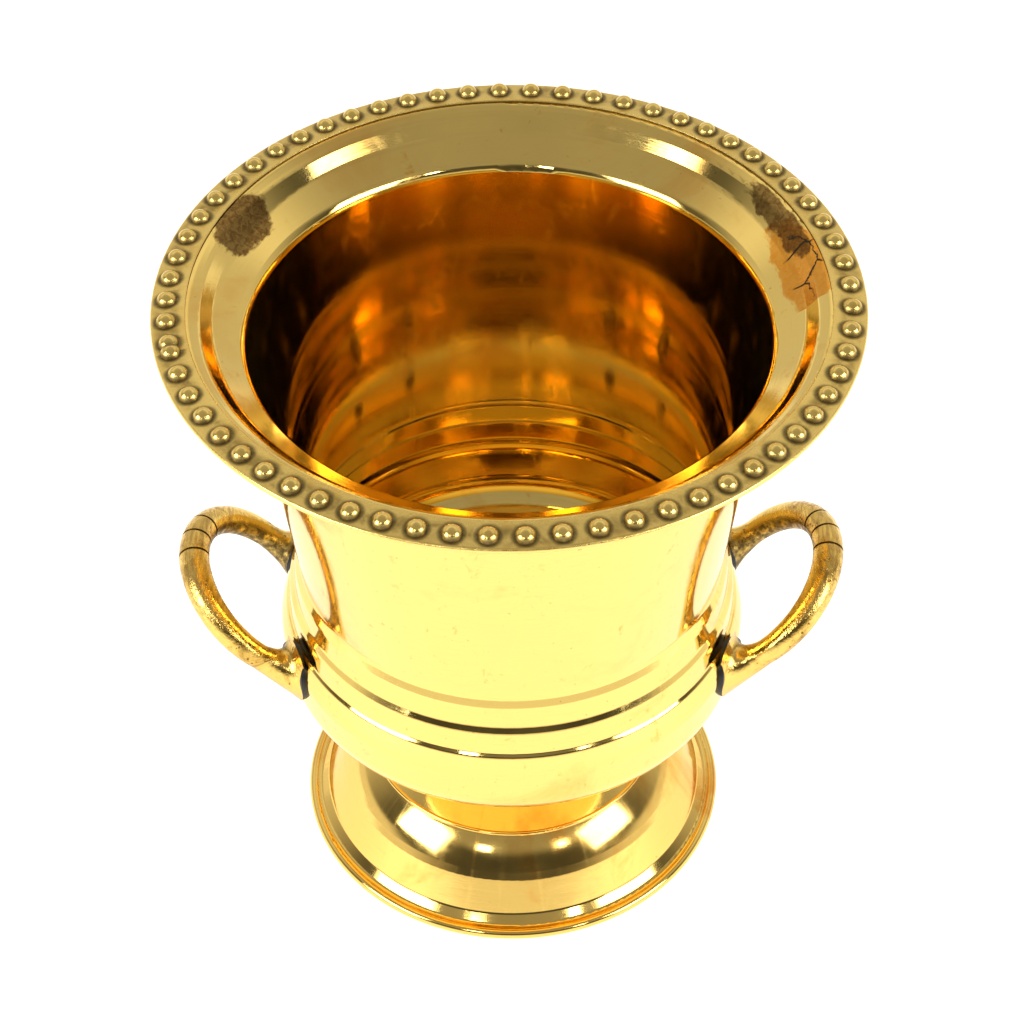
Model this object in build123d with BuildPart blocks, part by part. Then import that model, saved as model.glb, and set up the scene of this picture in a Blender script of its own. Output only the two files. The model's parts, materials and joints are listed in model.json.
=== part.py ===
"""Brass planter pot: a spun campana bowl with a beaded rim, two cast loop handles and a spun foot.

Millimetres, +Z up. The origin is on the ground, under the centre of the foot.
Each piece is made in place and written to parts/ as its own STEP file.
"""
from build123d import *
from math import cos, degrees, radians, sin
import os

# ---------------------------------------------------------------- driving dimensions
SHEET = 1.5                 # bowl wall, spun brass
FOOT_SHEET = 1.4            # foot wall, spun brass
PAD = 1.4                   # rubber pad between each handle foot and the bowl
NECK_SEAL = 1.8             # rubber disc between the bowl and the foot

BOWL_FLOOR_Z = 61.0         # underside of the bowl's flat floor
FLOOR_R = 34.0              # radius where the floor starts to rise
BELLY_R = 81.6              # widest part of the belly
WAIST_R = 73.8              # narrowest part of the wall, above the three steps
LIP_R = 112.4               # outer edge of the sheet lip
LIP_Z = 236.0               # underside of the sheet lip at that edge

RIM_R = 115.0               # outside of the beaded rim
RIM_EDGE = 1.1              # radius of its half-round edge
RIM_EDGE_Z = 237.2          # height of the centre of that edge
RIM_INNER_R = 103.7         # inside of the beaded rim
RIM_INNER_Z = 239.4         # its top there

BEAD_R = 3.35               # radius of one bead
BEAD_RING_R = 109.8         # radius of the circle of beads
BEAD_Z = 238.2              # height of the bead centres
BEAD_CUT = 3.0              # each bead is a dome, cut this many degrees above its middle
BEAD_COUNT = 64             # beads in the run, without the extra one that closes it
SEAM_ANGLE = 191.8          # where the run of beads closes on itself, degrees
SEAM_STEP = 2.3             # the last bead overlaps the first by this little, degrees
BEAD_WANDER = 0.55          # the beads were set by eye: most that one strays, degrees

FOOT_TOP_Z = BOWL_FLOOR_Z - NECK_SEAL
NECK_R = 33.0
CURL_R = 1.95               # rolled edge of the foot
CURL_RING_R = 74.9
CURL_Z = 1.85               # a little under CURL_R, so the roll has a worn flat to stand on
WIRE_R = 1.1                # steel wire inside the rolled edge

HANDLE_BAR_R = 5.3          # section of the loop at the middle of its bar
HANDLE_ARM_R = 4.4          # and at its arms
HANDLE_TILT = 45.0          # the loop rises outward from the belly at this angle
HANDLE_BASE = (81.0, 95.5)  # where the loop's plane starts: distance from the axis, height
HANDLE_FORWARD = 0.8        # both handles sit this little to the front of the pot's middle, degrees
LOOP_HALF_WIDTH = 29.9      # half the distance between the arms, at the start of the bend
LOOP_ARM = 10.0             # distance of that point from the start of the plane
LOOP_REACH = 41.6           # distance of the middle of the bar
COLLAR_MIDDLE = 10.0        # the collar sits a little behind the middle of the bar, degrees
COLLAR_STEP = 16.0          # angle between its three grooves, degrees
GROOVE = 1.0                # width of a groove
GROOVE_DEPTH = 0.55

FLARE_SHARE = 0.40          # how far along from a foot to its arm the flare begins
FLARE_DROP = -1.2           # its height above the straight line between them
FLARE_R = 6.8               # its radius

PAD_ANGLE = 20.8            # each handle foot is this far round from the handle's middle
PAD_Z = 94.0
PAD_R = 10.6

SCREW_R = 2.0               # M4 machine screws hold the handles, from inside the bowl
SCREW_HEAD_R = 4.0
SCREW_HEAD = 2.4
SCREW_DEPTH = 4.6           # thread in the handle foot
WASHER_R = 5.5
WASHER = 1.0

BOLT_R = 4.0                # M8 bolt joins the bowl to the foot
BOLT_HOLE_R = 4.3
BOLT_HEAD_R = 7.5
BOLT_HEAD = 4.6
BOLT_END_Z = 44.0
SEAL_R = 12.0
SEAL = 1.5
BOLT_WASHER_R = 11.0
BOLT_WASHER = 1.2
PLATE_R = 17.0              # wide washer inside the foot
PLATE = 1.6
SPRING_WASHER = 2.0
NUT_FLATS = 13.0
NUT = 6.5

BOWL_TOP_OF_FLOOR = BOWL_FLOOR_Z + SHEET
CLEAR = 0.02                # running clearance of a thread or a wire in its hole

# Outside of the bowl as (radius, height, corner radius), from the bolt hole up to the lip's edge.
BOWL_SKIN = (
    (BOLT_HOLE_R, BOWL_FLOOR_Z, None),
    (FLOOR_R, BOWL_FLOOR_Z, 14.0),
    (80.2, 75.2, 12.0),     # turn of the belly
    (BELLY_R + 0.3, 97.0, 12.0),
    (79.6, 103.6, 2.0),     # lowest step
    (78.5, 104.8, 1.0),
    (77.9, 113.2, 2.5),     # middle step
    (76.2, 115.8, 2.0),
    (75.6, 123.4, 3.0),     # top step
    (WAIST_R, 127.1, 3.0),
    (86.7, 224.1, 3.5),     # throat
    (96.5, 230.4, 7.5),     # ledge of the lip
    (100.8, 235.7, 3.5),    # steep part of the lip
    (103.4, 237.1, 1.5),    # crease under the beaded rim
    (LIP_R, LIP_Z, None),
)

# Outside of the foot, from the bolt hole out to the rolled edge.
FOOT_SKIN = (
    (BOLT_HOLE_R, FOOT_TOP_Z, None),
    (NECK_R, FOOT_TOP_Z, 2.5),
    (34.3, 41.2, 13.0),     # neck
    (52.0, 30.6, 1.0),      # crease under the ring moulding
    (58.4, 25.6, 38.0),     # dome
    (63.5, 17.7, 3.0),      # foot of the dome
    (69.4, 6.0, 2.2),       # skirt
    (72.4, 3.3, 1.6),       # groove beside the roll
    (73.8, 3.3, None),
)
RING_MOULDING = (52.2, 30.5)
RING_MOULDING_R = 0.8


def skin_line(skin, grow=0.0):
    """The outline of a spun skin, widened by grow, as one line with rounded corners."""
    points = [(r + grow, z) for r, z, corner in skin]
    return FilletPolyline(*points, radius=[corner for r, z, corner in skin[1:-1]])


def radial_plane(angle, distance, height):
    """A plane that faces away from the pot's axis at the given angle."""
    outward = (cos(radians(angle)), sin(radians(angle)), 0)
    origin = (distance * outward[0], distance * outward[1], height)
    return Plane(origin=origin, x_dir=(-outward[1], outward[0], 0), z_dir=outward)


def pad_angles(middle):
    """The two angles, front and back, where a handle stands on the belly."""
    return (middle - PAD_ANGLE, middle + PAD_ANGLE)


def save(piece, name):
    piece.label = name
    export_step(piece, f"parts/{name}.step")


os.makedirs("parts", exist_ok=True)
RIGHT = -HANDLE_FORWARD
LEFT = 180.0 + HANDLE_FORWARD
PAD_PLACES = {
    "handle_pad_front_right": pad_angles(RIGHT)[0],
    "handle_pad_back_right": pad_angles(RIGHT)[1],
    "handle_pad_back_left": pad_angles(LEFT)[0],
    "handle_pad_front_left": pad_angles(LEFT)[1],
}

# ---------------------------------------------------------------- bowl
with BuildPart() as bowl:
    with BuildSketch(Plane.XZ):
        with BuildLine():
            skin_line(BOWL_SKIN)
            offset(amount=SHEET, side=Side.LEFT, closed=True)
        make_face()
    revolve(axis=Axis.Z)
    for angle in PAD_PLACES.values():
        with BuildSketch(radial_plane(angle, BELLY_R / 2, PAD_Z)):
            Circle(SCREW_R + 0.2)
        extrude(amount=BELLY_R, mode=Mode.SUBTRACT)
save(bowl.part, "bowl")


# ---------------------------------------------------------------- beaded rim
def bead_places():
    """Centres of the beads: an uneven run round the rim that overlaps itself where it closes."""
    places = []
    for count in range(BEAD_COUNT + 1):
        stray = BEAD_WANDER * sin(12.9898 * count) * sin(radians(180 * count / BEAD_COUNT))
        turn = (360.0 - SEAM_STEP) * count / BEAD_COUNT
        angle = radians(SEAM_ANGLE + SEAM_STEP + turn + stray)
        places.append((BEAD_RING_R * cos(angle), BEAD_RING_R * sin(angle), BEAD_Z))
    return places


LIP_TOP_EDGE = (LIP_R, LIP_Z + SHEET)
LIP_TOP_INNER = (RIM_INNER_R + 0.2, 238.55)
EDGE_CENTRE_R = RIM_R - RIM_EDGE

with BuildPart() as beaded_rim:
    with BuildSketch(Plane.XZ):
        with BuildLine():
            Polyline(
                (EDGE_CENTRE_R, RIM_EDGE_Z - RIM_EDGE),
                (LIP_R + 0.25, RIM_EDGE_Z - RIM_EDGE),
                (LIP_R + 0.25, LIP_TOP_EDGE[1]),
                LIP_TOP_INNER,
                (RIM_INNER_R, RIM_INNER_Z - 0.3),
                (RIM_INNER_R + 0.3, RIM_INNER_Z),
                (EDGE_CENTRE_R, RIM_EDGE_Z + RIM_EDGE),
            )
            ThreePointArc(
                (EDGE_CENTRE_R, RIM_EDGE_Z + RIM_EDGE),
                (RIM_R, RIM_EDGE_Z),
                (EDGE_CENTRE_R, RIM_EDGE_Z - RIM_EDGE),
            )
        make_face()
    revolve(axis=Axis.Z)
    add(bowl.part, mode=Mode.SUBTRACT)
    with Locations(*bead_places()):
        Sphere(BEAD_R, arc_size1=BEAD_CUT, align=None)
save(beaded_rim.part, "beaded_rim")

# ---------------------------------------------------------------- foot
with BuildPart() as foot:
    with BuildSketch(Plane.XZ):
        with BuildLine():
            skin_line(FOOT_SKIN)
            offset(amount=FOOT_SHEET, side=Side.RIGHT, closed=True)
        make_face()
        with Locations(RING_MOULDING):
            Circle(RING_MOULDING_R)
        with Locations((CURL_RING_R, CURL_Z)):
            Circle(CURL_R)
            Circle(WIRE_R + CLEAR, mode=Mode.SUBTRACT)
    revolve(axis=Axis.Z)
    split(bisect_by=Plane.XY, keep=Keep.TOP)
save(foot.part, "foot")

with BuildPart() as foot_edge_wire:
    with BuildSketch(Plane.XZ):
        with Locations((CURL_RING_R, CURL_Z)):
            Circle(WIRE_R)
    revolve(axis=Axis.Z)
save(foot_edge_wire.part, "foot_edge_wire")

# ---------------------------------------------------------------- handles
BELLY_SKIN = BOWL_SKIN[1:7]


def belly(grow):
    """The solid belly with its outside grown by grow: it trims what stands on the belly."""
    with BuildPart() as solid:
        with BuildSketch(Plane.XZ):
            with BuildLine():
                side = skin_line(BELLY_SKIN, grow)
                Polyline(side @ 1, (0, (side @ 1).Y), (0, (side @ 0).Y), side @ 0)
            make_face()
        revolve(axis=Axis.Z)
    return solid.part


rise = radians(HANDLE_TILT)
outward = radial_plane(RIGHT, HANDLE_BASE[0], HANDLE_BASE[1])
loop_plane = Plane(
    origin=outward.origin,
    x_dir=outward.x_dir,
    z_dir=outward.z_dir * sin(rise) - Vector(0, 0, cos(rise)),
)
with BuildLine(loop_plane) as loop:
    bend = ThreePointArc(
        (LOOP_HALF_WIDTH, LOOP_ARM),
        (0, LOOP_REACH),
        (-LOOP_HALF_WIDTH, LOOP_ARM),
    )
bend_sweep = degrees(bend.length / bend.radius)


with BuildPart() as handle_right:
    for where, section in ((0, HANDLE_ARM_R), (0.5, HANDLE_BAR_R), (1, HANDLE_ARM_R)):
        with BuildSketch(Plane(origin=bend @ where, z_dir=bend % where)):
            Circle(section)
    sweep(path=bend, multisection=True)
    for end, away, angle in ((0, -1, PAD_ANGLE), (1, 1, -PAD_ANGLE)):
        arm = Plane(origin=bend @ end, z_dir=(bend % end) * away)
        seat = radial_plane(RIGHT + angle, BELLY_R - 0.9, PAD_Z)
        flare = Plane(
            origin=arm.origin * FLARE_SHARE + seat.origin * (1 - FLARE_SHARE) + Vector(0, 0, FLARE_DROP),
            z_dir=arm.z_dir * 0.45 - seat.z_dir * 0.55,
        )
        with BuildSketch(arm):
            Circle(HANDLE_ARM_R)
        with BuildSketch(flare):
            Circle(FLARE_R)
        with BuildSketch(Plane(origin=seat.origin, x_dir=seat.x_dir, z_dir=-seat.z_dir)):
            Circle(PAD_R + 1.9)
        loft()
    for step in (-1, 0, 1):
        swing = (COLLAR_MIDDLE + step * COLLAR_STEP) / bend_sweep
        where = 0.5 - swing
        with BuildSketch(Plane(origin=bend @ where, z_dir=bend % where)):
            Circle(HANDLE_BAR_R + 1.0)
            Circle(HANDLE_BAR_R - GROOVE_DEPTH, mode=Mode.SUBTRACT)
        extrude(amount=GROOVE / 2, both=True, mode=Mode.SUBTRACT)
    add(belly(PAD), mode=Mode.SUBTRACT)
    for angle in pad_angles(RIGHT):
        with BuildSketch(radial_plane(angle, BELLY_R, PAD_Z)):
            Circle(SCREW_R + CLEAR)
        extrude(amount=PAD + SCREW_DEPTH, mode=Mode.SUBTRACT)
save(handle_right.part, "handle_right")

with BuildPart() as handle_left:
    mirror(handle_right.part, about=Plane.YZ)
save(handle_left.part, "handle_left")

# ---------------------------------------------------------------- handle pads, screws and washers
for name, angle in PAD_PLACES.items():
    with BuildPart() as pad:
        with BuildSketch(radial_plane(angle, BELLY_R / 2, PAD_Z)):
            Circle(PAD_R)
            Circle(SCREW_R + 0.2, mode=Mode.SUBTRACT)
        extrude(amount=BELLY_R)
        add(belly(PAD), mode=Mode.INTERSECT)
        add(belly(0), mode=Mode.SUBTRACT)
    save(pad.part, name)

    place = name.replace("handle_pad_", "")
    face = BELLY_R - SHEET - 0.15
    with BuildPart() as washer:
        with BuildSketch(radial_plane(angle, face - WASHER, PAD_Z)):
            Circle(WASHER_R)
            Circle(SCREW_R + 0.2, mode=Mode.SUBTRACT)
        extrude(amount=WASHER)
        add(bowl.part, mode=Mode.SUBTRACT)
    save(washer.part, "screw_washer_" + place)

    with BuildPart() as screw:
        with BuildSketch(radial_plane(angle, face - WASHER, PAD_Z)):
            Circle(SCREW_R)
        extrude(amount=BELLY_R + PAD + SCREW_DEPTH - 0.6 - (face - WASHER))
        with BuildSketch(radial_plane(angle, face - WASHER, PAD_Z)):
            Circle(SCREW_HEAD_R)
        extrude(amount=-SCREW_HEAD)
        inner_end = screw.edges().filter_by(GeomType.CIRCLE).sort_by(
            lambda edge: Vector(edge.arc_center.X, edge.arc_center.Y, 0).length
        )
        fillet(inner_end[0], radius=1.4)
        with BuildSketch(radial_plane(angle, face - WASHER - SCREW_HEAD, PAD_Z)):
            Rectangle(SCREW_HEAD_R * 2.4, 1.0)
        extrude(amount=1.0, mode=Mode.SUBTRACT)
    save(screw.part, "handle_screw_" + place)


# ---------------------------------------------------------------- bowl to foot joint
def ring(outer, inner, bottom, height):
    """A flat ring round the pot's axis."""
    with BuildPart() as flat:
        with BuildSketch(Plane.XY.offset(bottom)):
            Circle(outer)
            Circle(inner, mode=Mode.SUBTRACT)
        extrude(amount=height)
    return flat.part


save(ring(NECK_R - 1.0, BOLT_HOLE_R, FOOT_TOP_Z, NECK_SEAL), "neck_seal")
save(ring(SEAL_R, BOLT_HOLE_R, BOWL_TOP_OF_FLOOR, SEAL), "bolt_seal")
WASHER_Z = BOWL_TOP_OF_FLOOR + SEAL
save(ring(BOLT_WASHER_R, BOLT_HOLE_R, WASHER_Z, BOLT_WASHER), "bolt_washer")
PLATE_Z = FOOT_TOP_Z - FOOT_SHEET - PLATE
save(ring(PLATE_R, BOLT_HOLE_R, PLATE_Z, PLATE), "foot_plate_washer")

with BuildPart() as spring_washer:
    with BuildSketch(Plane.XY.offset(PLATE_Z - SPRING_WASHER)):
        Circle(BOLT_R + 3.0)
        Circle(BOLT_HOLE_R, mode=Mode.SUBTRACT)
        with Locations((BOLT_R + 2.0, 0)):
            Rectangle(4.5, 0.9, mode=Mode.SUBTRACT)
    extrude(amount=SPRING_WASHER)
save(spring_washer.part, "spring_washer")

NUT_Z = PLATE_Z - SPRING_WASHER - NUT
with BuildPart() as foot_nut:
    with BuildSketch(Plane.XY.offset(NUT_Z)):
        RegularPolygon(NUT_FLATS / 2, 6, major_radius=False)
        Circle(BOLT_R + CLEAR, mode=Mode.SUBTRACT)
    extrude(amount=NUT)
    chamfer(foot_nut.edges().filter_by(GeomType.LINE).filter_by(Plane.XY).group_by(Axis.Z)[0], length=0.5)
save(foot_nut.part, "foot_nut")

BOLT_HEAD_Z = WASHER_Z + BOLT_WASHER
with BuildPart() as centre_bolt:
    with BuildSketch(Plane.XY.offset(BOLT_END_Z)):
        Circle(BOLT_R)
    extrude(amount=BOLT_HEAD_Z - BOLT_END_Z)
    chamfer(centre_bolt.edges().group_by(Axis.Z)[0], length=0.6)
    with BuildSketch(Plane.XY.offset(BOLT_HEAD_Z)):
        Circle(BOLT_HEAD_R)
    extrude(amount=BOLT_HEAD)
    fillet(centre_bolt.edges().group_by(Axis.Z)[-1], radius=3.4)
    with BuildSketch(Plane.XY.offset(BOLT_HEAD_Z + BOLT_HEAD)):
        Rectangle(BOLT_HEAD_R * 2.4, 1.6)
    extrude(amount=-1.6, mode=Mode.SUBTRACT)
save(centre_bolt.part, "centre_bolt")
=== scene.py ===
"""Looks for the brass planter pot: materials, floor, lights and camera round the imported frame.

Lengths are in metres, angles round the pot in degrees from +X, colours in linear RGB.
A noise's scale is about its number of blobs per metre.
"""
import json
import math

import bpy
from mathutils import Matrix, Vector

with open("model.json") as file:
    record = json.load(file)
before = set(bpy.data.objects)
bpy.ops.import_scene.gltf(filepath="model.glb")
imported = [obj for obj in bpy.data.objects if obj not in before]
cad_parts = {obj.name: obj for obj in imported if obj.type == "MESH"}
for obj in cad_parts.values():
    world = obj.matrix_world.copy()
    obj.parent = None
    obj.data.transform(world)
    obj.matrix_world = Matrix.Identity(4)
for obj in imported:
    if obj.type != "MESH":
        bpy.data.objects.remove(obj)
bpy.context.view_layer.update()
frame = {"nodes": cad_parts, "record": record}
NODES = frame["nodes"]

# ---------------------------------------------------------------- colours
BRASS = (0.86, 0.58, 0.155)
PALE_BRASS = (0.92, 0.665, 0.20)
DEEP_BRASS = (0.66, 0.36, 0.045)
FOOT_BRASS = (0.88, 0.60, 0.165)
FASTENER_BRASS = (0.55, 0.38, 0.14)
TARNISH = (0.76, 0.31, 0.030)
STAIN = (0.115, 0.045, 0.010)
FILED_BROWN = (0.30, 0.16, 0.05)
# Dark patina of the hollows and cracks, also used on the handles as painted shade.
PATINA_AND_SHADE = (0.050, 0.036, 0.020)
STEEL = (0.50, 0.50, 0.50)
RUBBER = (0.012, 0.013, 0.018)
FLOOR_WHITE = (0.93, 0.925, 0.91)
FLOOR_GLOW = (1.0, 0.99, 0.97)
ROOM_LIGHT = (1.0, 0.955, 0.86)

# ---------------------------------------------------------------- places on the pot
LIP_FLARE = (0.086, 0.092)            # radii over which the wall turns out into the lip
RIM_OUTER_EDGE = (0.1138, 0.1146)     # radii over which the rim's edge is worn bright
BAND_TOP = (0.2392, 0.2398)           # heights over which the rim's band gives way to beads
BEAD_TOP = (0.2396, 0.2408)           # heights over which a bead gets its polish
BEAD_RING_RADIUS = 0.1098
BEAD_COUNT, BEAD_WANDER = 64, 0.55    # beads in the run, and how far one strays
BEAD_SHUFFLE = 12.9898                # turns a bead's number into its own stray
SEAM_ANGLE, SEAM_STEP = 191.8, 2.3    # where the run of beads closes on itself
HANDLE_BAR_START = (0.116, 0.122)     # heights where a handle's arms become its bar
LOOP_MIDDLE = (0.092, 0.106)          # middle of a handle's loop: distance from the axis, height

# Each stain on the lip: its spot (angle, radius, half its angle, half its width), then its
# tint, strength and raggedness.
LIP_STAINS = (
    ((11.0, 0.0975, 15.0, 0.0070), TARNISH, 0.98, 0.8),
    ((24.0, 0.0995, 11.0, 0.0036), STAIN, 0.92, 1.1),
    ((155.0, 0.0985, 8.5, 0.0066), STAIN, 0.95, 0.9),
)
LIP_CRACKS = (11.0, 0.0985, 9.0, 0.0050)

# ---------------------------------------------------------------- textures of each surface
# A pair is where a mask starts and where it's full. A noise's values lie round 0.5.
SPIN_LINE_SCALE, SPIN_BAND_SCALE = 2400, 480
CLOUD_SCALE, SMEAR_SCALE, WIPE_SCALE, SPECK_SCALE = 20, 170, 120, 620
TARNISHED_CLOUD, DULL_CLOUD = (0.52, 0.74), (0.42, 0.7)
DARK_LINE, DULL_LINE = (0.55, 0.8), (0.5, 0.8)
SPOTTED_SMEAR, SPOTTED_WIPE, DULL_SMEAR = (0.60, 0.70), (0.46, 0.62), (0.5, 0.7)
DARK_SPECK = (0.72, 0.78)

STAIN_EDGE_SCALE, STAIN_STREAK_SCALE, STAIN_GRAIN_SCALE = 95, 900, 420
STAIN_GRAIN = (0.35, 0.62)
FACING_UP = (0.05, 0.15)              # upward part of the normal where a stain can lie
CRACK_NET_SCALE, CRACK_BEND_SCALE = 95, 300
CRACK_BEND = 0.004                    # most that a crack strays from the net
CRACK_SIDE = (0.012, 0.035)           # distance from a crack's middle, in cells

RIM_BLOTCH_SCALE, RIM_GRAIN_SCALE, RIM_LINE_SCALE, RIM_PIT_SCALE = 90, 650, 2000, 420
RIM_HOLLOWS = (0.0055, 0.50, 0.985)   # reach of the occlusion, and its open share
BESIDE_BEADS = (0.0020, 0.0050)       # distance from the circle of beads
BEAD_FOOT = (0.0026, 0.0032)          # distance from a bead's centre where its patina begins
BEAD_PATINA_FADES = 0.0036            # where it starts to fade
BEAD_PATINA_REACH, BEAD_PATINA_SPREAD = 0.0043, 0.0022
GRIMY_BLOTCH, TARNISHED_BLOTCH, PITTED_BLOTCH = (0.40, 0.66), (0.45, 0.7), (0.58, 0.66)
RIM_PIT = (0.10, 0.22)

CAST_BLOTCH_SCALE, CAST_GRAIN_SCALE, FILE_MARK_SCALE, CAST_PIT_SCALE = 62, 420, 520, 460
CAST_HOLLOWS = (0.0030, 0.40, 0.90)
CAST_PIT, SCARRED_BLOTCH = (0.14, 0.30), (0.50, 0.60)
UNDERSIDE = (0.0, -0.75)              # upward part of the normal over which painted shade darkens a handle's underside
INNER_SIDE = (0.15, 0.75)             # how far a normal points to the middle of the loop, where painted shade darkens a handle
FILE_MARK = (0.42, 0.62)


# ---------------------------------------------------------------- shader helpers
MIX_COLOUR_INPUTS = (0, 6, 7)         # a Mix node has sockets for every data type
MIX_COLOUR_OUTPUT = 2


class Graph:
    """A node tree, with short calls for the few nodes used here."""

    def __init__(self, tree):
        self.tree = tree

    def put(self, socket, value):
        """Link value to the socket, or set it there when it's a number or a colour."""
        if isinstance(value, bpy.types.NodeSocket):
            self.tree.links.new(value, socket)
        elif isinstance(value, tuple) and len(value) == 3 and socket.type == "RGBA":
            socket.default_value = (*value, 1)
        else:
            socket.default_value = value

    def math(self, operation, a, b=0.0, clamp=False):
        node = self.tree.nodes.new("ShaderNodeMath")
        node.operation = operation
        node.use_clamp = clamp
        for socket, value in zip(node.inputs, (a, b)):
            self.put(socket, value)
        return node.outputs[0]

    def plus(self, a, b):
        return self.math("ADD", a, b)

    def minus(self, a, b):
        return self.math("SUBTRACT", a, b)

    def times(self, a, b, clamp=False):
        return self.math("MULTIPLY", a, b, clamp)

    def most(self, a, b):
        return self.math("MAXIMUM", a, b)

    def length(self, *sides):
        total = 0.0
        for side in sides:
            total = self.plus(total, self.times(side, side))
        return self.math("SQRT", total)

    def build_up(self, base, *layers):
        """base, plus each layer's mask times its amount."""
        for mask, amount in layers:
            base = self.plus(base, self.times(mask, amount))
        return base

    def split(self, vector):
        node = self.tree.nodes.new("ShaderNodeSeparateXYZ")
        self.put(node.inputs[0], vector)
        return node.outputs

    def join(self, x, y, z):
        node = self.tree.nodes.new("ShaderNodeCombineXYZ")
        for socket, value in zip(node.inputs, (x, y, z)):
            self.put(socket, value)
        return node.outputs[0]

    def noise(self, vector, scale, detail=4.0, rough=0.55, distort=0.0):
        node = self.tree.nodes.new("ShaderNodeTexNoise")
        self.put(node.inputs["Vector"], vector)
        node.inputs["Scale"].default_value = scale
        node.inputs["Detail"].default_value = detail
        node.inputs["Roughness"].default_value = rough
        node.inputs["Distortion"].default_value = distort
        return node.outputs[0]

    def cells(self, vector, scale, feature="F1"):
        node = self.tree.nodes.new("ShaderNodeTexVoronoi")
        node.feature = feature
        self.put(node.inputs["Vector"], vector)
        node.inputs["Scale"].default_value = scale
        return node.outputs["Distance"]

    def ramp(self, value, low, high, a=0.0, b=1.0):
        """A smooth step of value: a below low, b above high."""
        node = self.tree.nodes.new("ShaderNodeMapRange")
        node.interpolation_type = "SMOOTHSTEP"
        for socket, put in zip(node.inputs, (value, low, high, a, b)):
            self.put(socket, put)
        return node.outputs[0]

    def mix(self, factor, a, b):
        node = self.tree.nodes.new("ShaderNodeMix")
        node.data_type = "RGBA"
        for index, value in zip(MIX_COLOUR_INPUTS, (factor, a, b)):
            self.put(node.inputs[index], value)
        return node.outputs[MIX_COLOUR_OUTPUT]

    def bump(self, height, strength, distance):
        node = self.tree.nodes.new("ShaderNodeBump")
        node.inputs["Strength"].default_value = strength
        node.inputs["Distance"].default_value = distance
        self.put(node.inputs["Height"], height)
        return node.outputs[0]


class Material(Graph):
    """A new material's node tree, round one Principled shader."""

    def __init__(self, name):
        self.material = bpy.data.materials.new(name)
        self.material.use_nodes = True
        super().__init__(self.material.node_tree)
        self.tree.nodes.clear()
        out = self.tree.nodes.new("ShaderNodeOutputMaterial")
        self.shader = self.tree.nodes.new("ShaderNodeBsdfPrincipled")
        self.tree.links.new(self.shader.outputs[0], out.inputs[0])
        geometry = self.tree.nodes.new("ShaderNodeNewGeometry")
        self.where = geometry.outputs["Position"]
        self.normal = geometry.outputs["Normal"]

    def finish(self, colour, metallic, roughness, bump):
        """Put the four on the shader, and return the material."""
        self.put(self.shader.inputs["Base Color"], colour)
        self.put(self.shader.inputs["Metallic"], metallic)
        self.put(self.shader.inputs["Roughness"], roughness)
        self.put(self.shader.inputs["Normal"], bump)
        return self.material


def around_axis(g):
    """Radius, angle from +X (0 to 360) and height of the shaded point."""
    x, y, z = g.split(g.where)
    turn = g.times(g.math("ARCTAN2", y, x), 180 / math.pi)
    turn = g.math("MODULO", g.plus(turn, 360.0), 360.0)
    return g.length(x, y), turn, z


def hollows(g, distance, low, high):
    """1 in corners and grooves, 0 on open surface."""
    occlusion = g.tree.nodes.new("ShaderNodeAmbientOcclusion")
    occlusion.samples = 6
    occlusion.inputs["Distance"].default_value = distance
    return g.ramp(occlusion.outputs["AO"], low, high, 1.0, 0.0)


# ---------------------------------------------------------------- spun sheet: bowl and foot
def patch(g, radius, turn, spot, soft, ragged):
    """A ragged patch on the upper side of a turned surface: 1 inside, 0 outside.

    spot is its angle and radius, and half its size in each.
    """
    angle, at, half_angle, half_radius = spot
    u = g.math("DIVIDE", g.minus(turn, angle), half_angle)
    v = g.math("DIVIDE", g.minus(radius, at), half_radius)
    broad = g.minus(g.noise(g.where, STAIN_EDGE_SCALE, detail=2, rough=0.5), 0.5)
    round_the_pot = g.join(g.times(turn, 0.0006), radius, 0.0)
    streak = g.minus(g.noise(round_the_pot, STAIN_STREAK_SCALE, detail=3, rough=0.6), 0.5)
    wobble = g.plus(broad, g.times(streak, 0.5))
    edge = g.plus(g.length(u, v), g.times(wobble, ragged))
    facing_up = g.ramp(g.split(g.normal)[2], *FACING_UP)
    return g.times(g.ramp(edge, 1.0 - soft, 1.0 + soft, 1.0, 0.0), facing_up)


def add_stain(g, colour, roughness, radius, turn, stain):
    """Colour and roughness with one stain of LIP_STAINS laid over them."""
    spot, tint, strength, ragged = stain
    mask = g.times(patch(g, radius, turn, spot, soft=0.10, ragged=ragged), strength)
    grain = g.noise(g.where, STAIN_GRAIN_SCALE, detail=6, rough=0.75, distort=1.2)
    mask = g.times(mask, g.build_up(0.80, (g.ramp(grain, *STAIN_GRAIN), 0.20)))
    return g.mix(mask, colour, tint), g.build_up(roughness, (mask, 0.12))


def add_cracks(g, colour, roughness, radius, turn, spot):
    """Colour and roughness with a net of fine dark cracks over that spot."""
    bent = g.build_up(radius, (g.noise(g.where, CRACK_BEND_SCALE, detail=3), CRACK_BEND))
    net_at = g.join(g.times(turn, 0.0011), bent, 0.0)
    net = g.cells(net_at, CRACK_NET_SCALE, "DISTANCE_TO_EDGE")
    where = patch(g, radius, turn, spot, soft=0.2, ragged=0.8)
    mask = g.times(g.ramp(net, *CRACK_SIDE, 1.0, 0.0), where)
    return g.mix(mask, colour, PATINA_AND_SHADE), g.build_up(roughness, (mask, 0.3))


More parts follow.
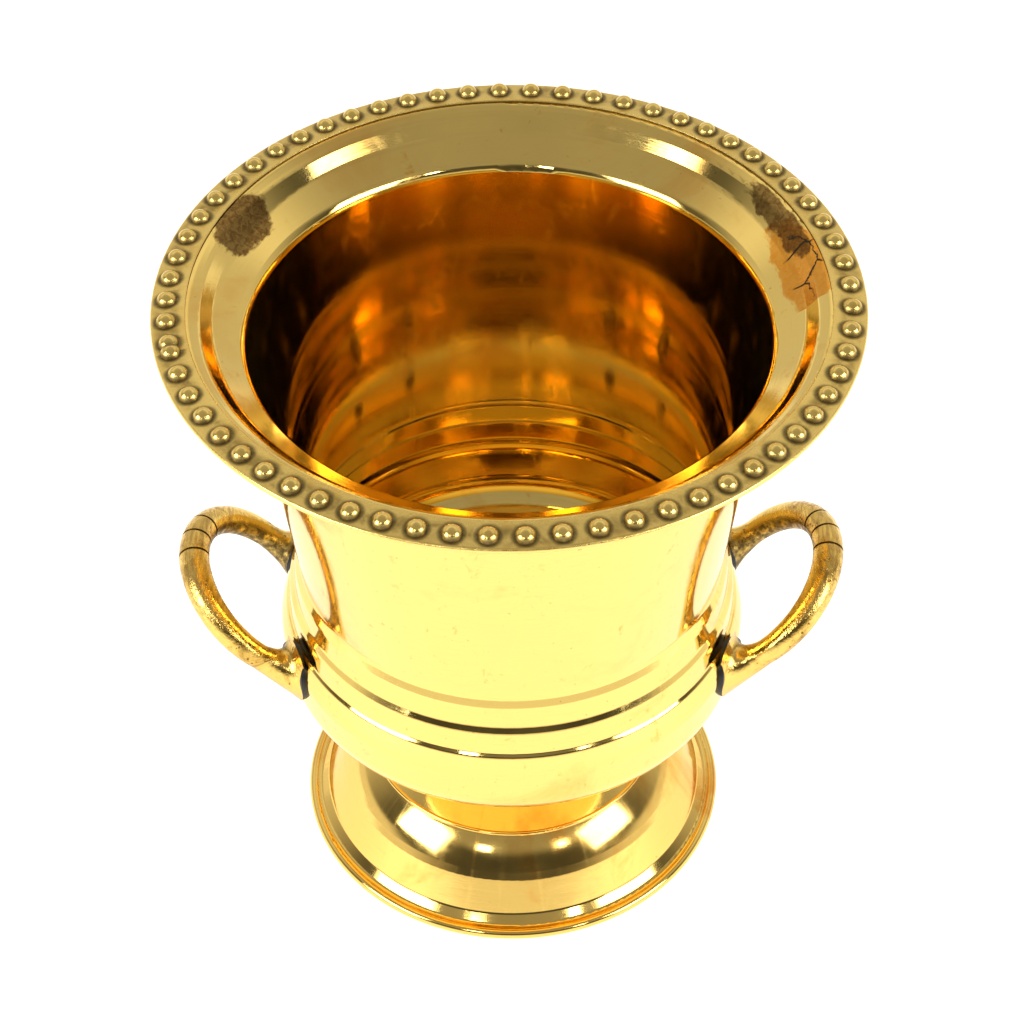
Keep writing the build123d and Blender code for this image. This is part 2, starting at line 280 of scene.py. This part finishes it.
def spun_brass(name, base, tarnish, rough, stains=(), cracks=None):
    """Polished spun sheet: fine lines round the axis, blotches of orange tarnish, a few stains."""
    g = Material(name)
    radius, turn, z = around_axis(g)
    along = g.plus(radius, z)
    line_at = g.join(along, g.times(turn, 0.00004), 0.0)
    line = g.noise(line_at, SPIN_LINE_SCALE, detail=3, rough=0.7)
    band_at = g.join(along, g.times(turn, 0.0001), 3.0)
    band = g.noise(band_at, SPIN_BAND_SCALE, detail=2, rough=0.5)
    cloud = g.noise(g.where, CLOUD_SCALE, detail=5, rough=0.62, distort=0.7)
    smear_at = g.join(g.times(turn, 0.0011), g.times(along, 0.35), 1.0)
    smear = g.noise(smear_at, SMEAR_SCALE, detail=5, rough=0.65, distort=0.9)
    wipe_at = g.join(g.times(turn, 0.0022), g.times(along, 2.4), 5.0)
    wipe = g.noise(wipe_at, WIPE_SCALE, detail=6, rough=0.7, distort=0.3)
    speck = g.noise(g.where, SPECK_SCALE, detail=2, rough=0.5)

    cloud = g.build_up(cloud, (g.ramp(radius, *LIP_FLARE), 0.05))
    spots = g.times(g.ramp(smear, *SPOTTED_SMEAR), g.ramp(wipe, *SPOTTED_WIPE))
    colour = g.mix(g.times(g.ramp(cloud, *TARNISHED_CLOUD), tarnish), base, TARNISH)
    colour = g.mix(g.times(spots, tarnish * 1.3), colour, TARNISH)
    colour = g.mix(g.times(g.ramp(line, *DARK_LINE), 0.20), colour, DEEP_BRASS)
    roughness = g.build_up(
        rough,
        (g.ramp(cloud, *DULL_CLOUD), 0.05),
        (g.ramp(line, *DULL_LINE), 0.05),
        (g.ramp(smear, *DULL_SMEAR), 0.07),
    )
    for stain in stains:
        colour, roughness = add_stain(g, colour, roughness, radius, turn, stain)
    if cracks:
        colour, roughness = add_cracks(g, colour, roughness, radius, turn, cracks)
    colour = g.mix(g.times(g.ramp(speck, *DARK_SPECK), 0.35), colour, STAIN)
    height = g.plus(g.times(line, 0.5), band)
    bump = g.bump(height, strength=0.08, distance=0.00010)
    return g.finish(colour, 1.0, roughness, bump)


# ---------------------------------------------------------------- the beaded rim
def from_bead(g, radius, turn):
    """Distance on the rim from the nearest bead's centre, by the same uneven run as the CAD."""
    spacing = (360.0 - SEAM_STEP) / BEAD_COUNT
    run = g.minus(turn, SEAM_ANGLE + SEAM_STEP)
    run = g.math("MODULO", g.plus(run, 720.0), 360.0)
    count = g.math("ROUND", g.math("DIVIDE", run, spacing))
    stray = g.times(g.math("SINE", g.times(count, BEAD_SHUFFLE)), BEAD_WANDER)
    stray = g.times(stray, g.math("SINE", g.times(count, math.pi / BEAD_COUNT)))
    off = g.minus(run, g.plus(g.times(count, spacing), stray))
    across = g.times(g.times(off, math.pi / 180), radius)
    return g.length(across, g.minus(radius, BEAD_RING_RADIUS))


def beaded_brass(name):
    """The rim: satin from polishing between the beads, dark patina where the cloth can't reach."""
    g = Material(name)
    radius, turn, z = around_axis(g)
    blotch = g.noise(g.where, RIM_BLOTCH_SCALE, detail=5, rough=0.65, distort=0.5)
    fine = g.noise(g.where, RIM_GRAIN_SCALE, detail=4, rough=0.7)
    line_at = g.join(radius, g.times(turn, 0.0003), 0.0)
    line = g.noise(line_at, RIM_LINE_SCALE, detail=3, rough=0.7)

    beside = g.math("ABSOLUTE", g.minus(radius, BEAD_RING_RADIUS))
    band = g.times(g.ramp(beside, *BESIDE_BEADS, 1.0, 0.0), g.ramp(z, *BAND_TOP, 1.0, 0.0))
    grime = g.times(band, g.ramp(blotch, *GRIMY_BLOTCH))
    away = from_bead(g, radius, turn)
    reach = g.build_up(BEAD_PATINA_REACH, (blotch, BEAD_PATINA_SPREAD))
    ring = g.times(g.ramp(away, *BEAD_FOOT), g.ramp(away, BEAD_PATINA_FADES, reach, 1.0, 0.0))
    darkening = g.most(hollows(g, *RIM_HOLLOWS), g.times(grime, 0.60))
    darkening = g.most(darkening, g.times(ring, 0.92))
    darkening = g.times(darkening, g.plus(0.66, g.times(fine, 0.6)), clamp=True)

    colour = g.mix(g.times(g.ramp(blotch, *TARNISHED_BLOTCH), 0.30), PALE_BRASS, DEEP_BRASS)
    colour = g.mix(g.times(darkening, 0.88), colour, PATINA_AND_SHADE)
    colour = g.mix(g.times(g.ramp(radius, *RIM_OUTER_EDGE), 0.7), colour, PALE_BRASS)
    roughness = g.build_up(0.20, (fine, 0.16), (g.ramp(z, *BEAD_TOP), -0.13), (darkening, 0.25))
    pits = g.ramp(g.cells(g.where, RIM_PIT_SCALE), *RIM_PIT, 1.0, 0.0)
    pits = g.times(pits, g.ramp(blotch, *PITTED_BLOTCH))
    height = g.minus(g.plus(g.times(line, 0.5), fine), pits)
    bump = g.bump(height, strength=0.30, distance=0.00025)
    return g.finish(colour, 1.0, roughness, bump)


# ---------------------------------------------------------------- the cast handles
def inner_side(g, x, y, z):
    """1 on the side of a handle that faces the middle of its loop, where painted shade darkens it.
    """
    middle_x, middle_z = LOOP_MIDDLE
    to_middle = (
        g.times(g.math("SIGN", x), g.minus(middle_x, g.math("ABSOLUTE", x))),
        g.times(y, -1.0),
        g.minus(middle_z, z),
    )
    facing = g.build_up(0.0, *zip(g.split(g.normal), to_middle))
    return g.ramp(g.math("DIVIDE", facing, g.length(*to_middle)), *INNER_SIDE)


def cast_brass(name):
    """The handles: a hand-filed casting, with patina in its grooves and painted shade below and on
    the inner side of its loop, scuffed bright outside.
    """
    g = Material(name)
    x, y, z = g.split(g.where)
    blotch = g.noise(g.where, CAST_BLOTCH_SCALE, detail=6, rough=0.7, distort=0.8)
    fine = g.noise(g.where, CAST_GRAIN_SCALE, detail=4, rough=0.65)
    along_bar = g.join(g.times(x, 1.6), g.times(y, 0.22), g.times(z, 1.6))
    ridge = g.noise(along_bar, FILE_MARK_SCALE, detail=3, rough=0.6)
    pit = g.ramp(g.cells(g.where, CAST_PIT_SCALE), *CAST_PIT, 1.0, 0.0)
    scars = g.times(pit, g.ramp(blotch, *SCARRED_BLOTCH))

    # Painted shade: a handle is darkened where its normal points down.
    underside_shade = g.ramp(g.split(g.normal)[2], *UNDERSIDE)
    darkening = g.most(hollows(g, *CAST_HOLLOWS), g.times(scars, 0.9))
    for layer in (
        g.times(underside_shade, g.ramp(blotch, 0.30, 0.60, 0.35, 0.75)),
        # Painted shade on the side facing the middle of the loop.
        g.times(inner_side(g, x, y, z), g.ramp(fine, 0.30, 0.60, 0.45, 0.95)),
        g.times(g.ramp(blotch, 0.52, 0.70), 0.55),
    ):
        darkening = g.most(darkening, layer)
    darkening = g.times(darkening, g.plus(0.62, g.times(fine, 0.7)), clamp=True)

    bar = g.ramp(z, *HANDLE_BAR_START)
    brown = g.times(g.times(bar, g.ramp(ridge, *FILE_MARK)), 0.50)
    colour = g.mix(g.times(g.ramp(blotch, 0.42, 0.68), 0.55), BRASS, DEEP_BRASS)
    colour = g.mix(brown, colour, FILED_BROWN)
    # Patina in the grooves and scars, and painted shade below and inside the loop.
    colour = g.mix(g.times(darkening, 0.9), colour, PATINA_AND_SHADE)
    roughness = g.build_up(0.09, (fine, 0.10), (g.most(darkening, brown), 0.32))
    height = g.plus(g.times(fine, 0.30), g.times(blotch, 1.6))
    height = g.build_up(height, (ridge, g.build_up(0.2, (bar, 0.6))))
    bump = g.bump(g.minus(height, scars), strength=0.45, distance=0.0006)
    return g.finish(colour, 1.0, roughness, bump)


# ---------------------------------------------------------------- fasteners and rubber
def plain(name, colour, metallic, rough):
    """One colour, broken up by grime and a fine grain."""
    g = Material(name)
    grime = g.noise(g.where, 180, detail=5, rough=0.65)
    fine = g.noise(g.where, 1500, detail=3, rough=0.6)
    dark = tuple(c * 0.45 for c in colour)
    mottled = g.mix(g.ramp(grime, 0.42, 0.7), colour, dark)
    roughness = g.build_up(rough, (fine, 0.1))
    return g.finish(mottled, metallic, roughness, g.bump(fine, strength=0.2, distance=0.0001))


# ---------------------------------------------------------------- materials on the CAD nodes
FINISHES = {
    "brass_spun": spun_brass("brass_spun", PALE_BRASS, 0.40, 0.06, LIP_STAINS, LIP_CRACKS),
    "brass_rim": beaded_brass("brass_rim"),
    "brass_foot": spun_brass("brass_foot", FOOT_BRASS, 0.75, 0.09),
    "brass_cast": cast_brass("brass_cast"),
    "brass_fastener": plain("brass_fastener", FASTENER_BRASS, 1.0, 0.28),
    "rubber_black": plain("rubber_black", RUBBER, 0.0, 0.32),
    "steel": plain("steel", STEEL, 1.0, 0.30),
}
for part in frame["record"]["subparts"]:
    node = NODES[part["node"]]
    node.data.materials.clear()
    node.data.materials.append(FINISHES[part["material_slot"]])

# ---------------------------------------------------------------- floor
FLOOR_SIZE = 6.0
FLOOR_EMISSION = 0.60

bpy.ops.mesh.primitive_plane_add(size=FLOOR_SIZE, location=(0, 0, 0))
floor = bpy.context.object
floor.name = "floor"
paper = Material("floor")
paper.put(paper.shader.inputs["Base Color"], FLOOR_WHITE)
grain = paper.noise(paper.where, 8)
paper.put(paper.shader.inputs["Roughness"], paper.build_up(0.55, (grain, 0.05)))
paper.put(paper.shader.inputs["Emission Color"], FLOOR_GLOW)
paper.put(paper.shader.inputs["Emission Strength"], FLOOR_EMISSION)
floor.data.materials.append(paper.material)

# ---------------------------------------------------------------- room
HORIZON = (0.10, 0.22)        # upward parts of a direction, from the horizon's glow to the room
WALL = (-0.20, 0.50)          # parts along +Y, from the room in front to the bright wall behind
CEILING = (0.50, 0.66)        # upward parts over which the pale ceiling begins
WALL_TOP = (0.66, 0.90)       # upward parts over which the wall fades out


def light_room():
    """A dim, patchy room with a bright wall behind the pot, a pale ceiling and a white horizon."""
    world = bpy.data.worlds.new("studio")
    bpy.context.scene.world = world
    world.use_nodes = True
    sky = Graph(world.node_tree)
    direction = sky.tree.nodes.new("ShaderNodeTexCoord").outputs["Generated"]
    back, up = sky.split(direction)[1:]
    horizon = sky.ramp(up, *HORIZON, 1.0, 0.0)
    room = sky.build_up(0.02, (sky.noise(direction, 3.2, detail=2), 0.12))
    room = sky.plus(room, sky.ramp(up, *CEILING, 0.0, 0.30))
    wall_height = sky.build_up(0.58, (sky.ramp(up, *WALL_TOP), -0.50))
    wall = sky.times(sky.ramp(back, *WALL), wall_height)
    glow = sky.most(sky.plus(room, wall), sky.times(horizon, 0.95))
    background = sky.tree.nodes["Background"]
    sky.put(background.inputs["Color"], ROOM_LIGHT)
    sky.put(background.inputs["Strength"], glow)


bpy.context.scene.view_settings.view_transform = "Standard"
light_room()

# ---------------------------------------------------------------- lights
LIGHTS_AIM = Vector((0, 0, 0.15))


def softbox(name, toward, distance, size, power):
    """A soft rectangular light in watts, that far from the pot and facing it."""
    data = bpy.data.lights.new(name, "AREA")
    data.shape = "RECTANGLE"
    data.size, data.size_y = size
    data.energy = power
    light = bpy.data.objects.new(name, data)
    bpy.context.collection.objects.link(light)
    light.location = LIGHTS_AIM + Vector(toward).normalized() * distance
    light.rotation_euler = (LIGHTS_AIM - light.location).to_track_quat("-Z", "Y").to_euler()


softbox("left", (-0.78, -0.45, 0.42), 1.6, (0.80, 0.75), 13)
softbox("right", (0.80, -0.42, 0.42), 1.6, (0.80, 0.75), 12)
softbox("front_left", (-0.28, -0.78, 0.56), 1.7, (0.20, 0.16), 1.6)
softbox("front_right", (0.45, -0.70, 0.55), 1.7, (0.15, 0.16), 1.2)

# ---------------------------------------------------------------- camera
CAMERA_TARGET = Vector((0.0, 0.0, 0.1411))
CAMERA_DISTANCE = 0.9822
CAMERA_ELEVATION = math.radians(44.44)
CAMERA_ROLL = math.radians(-0.49)
CAMERA_LENS_MM, CAMERA_SENSOR_MM = 100.1, 36.0
CAMERA_SHIFT_X = 0.00114
CAMERA_CLIP_START = 0.05

camera_data = bpy.data.cameras.new("camera")
camera_data.lens = CAMERA_LENS_MM
camera_data.sensor_width = CAMERA_SENSOR_MM
camera_data.clip_start = CAMERA_CLIP_START
camera_data.shift_x = CAMERA_SHIFT_X
camera = bpy.data.objects.new("camera", camera_data)
bpy.context.collection.objects.link(camera)
away = Vector((0, -math.cos(CAMERA_ELEVATION), math.sin(CAMERA_ELEVATION)))
camera.location = CAMERA_TARGET + away * CAMERA_DISTANCE
aim = (-away).to_track_quat("-Z", "Y").to_matrix().to_4x4()
camera.rotation_euler = (aim @ Matrix.Rotation(CAMERA_ROLL, 4, "Z")).to_euler()
bpy.context.scene.camera = camera
